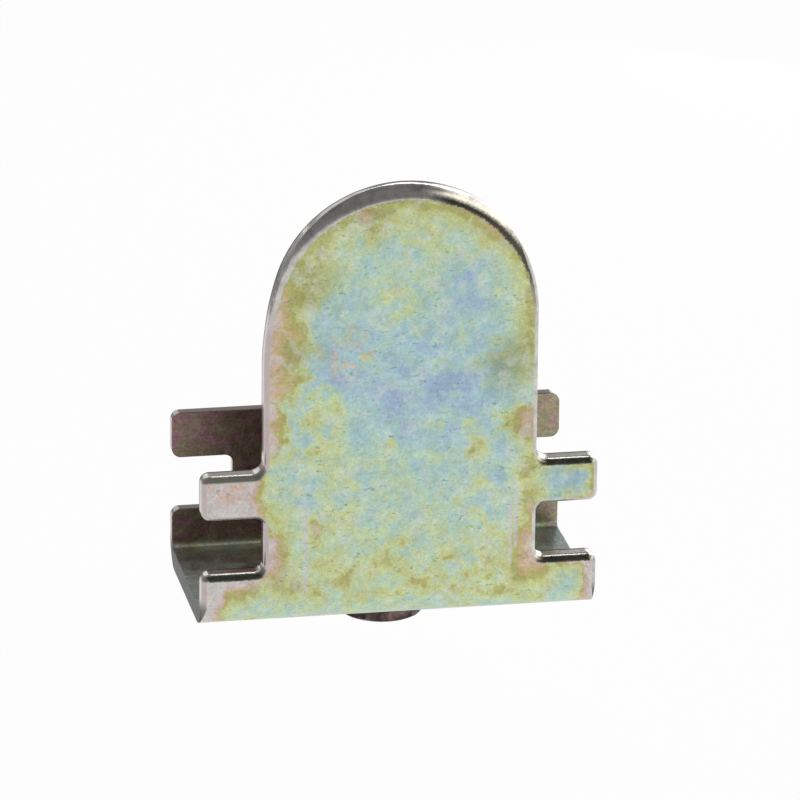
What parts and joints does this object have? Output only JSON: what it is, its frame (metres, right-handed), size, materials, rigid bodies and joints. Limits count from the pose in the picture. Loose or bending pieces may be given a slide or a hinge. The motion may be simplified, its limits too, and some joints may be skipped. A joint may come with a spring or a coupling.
{
  "type": "rail end stop",
  "caption": "Folded sheet-metal end stop for a C-section terminal rail: tall round-topped stop plate, side slots for the rail's lips, and a clamp screw in a nut under the web.",
  "frame": {"origin": "on the clamp screw's axis, at the face of its tip, level with the underside of the nut, where the stop bears on the rail's floor", "axes": "+X across the rail, +Y along the rail from the tall stop plate towards the low rear plate, +Z away from the rail's floor"},
  "size_m": [0.034, 0.0178, 0.041],
  "materials": {
    "yellow_zinc": "iridescent yellow chromate over zinc, satin",
    "nut_zinc": "dark zinc, satin",
    "screw_zinc": "zinc plated, satin"
  },
  "bodies": {
    "stop": {"bracket": "yellow_zinc", "nut": "nut_zinc"},
    "screw": {"clamp_screw": "screw_zinc"}
  },
  "joints": [
    {"name": "screw_advance", "type": "slide", "parent": "stop", "child": "screw", "axis": [0, 0, -1], "range_m": [-0.0014, 0.0062]}
  ]
}
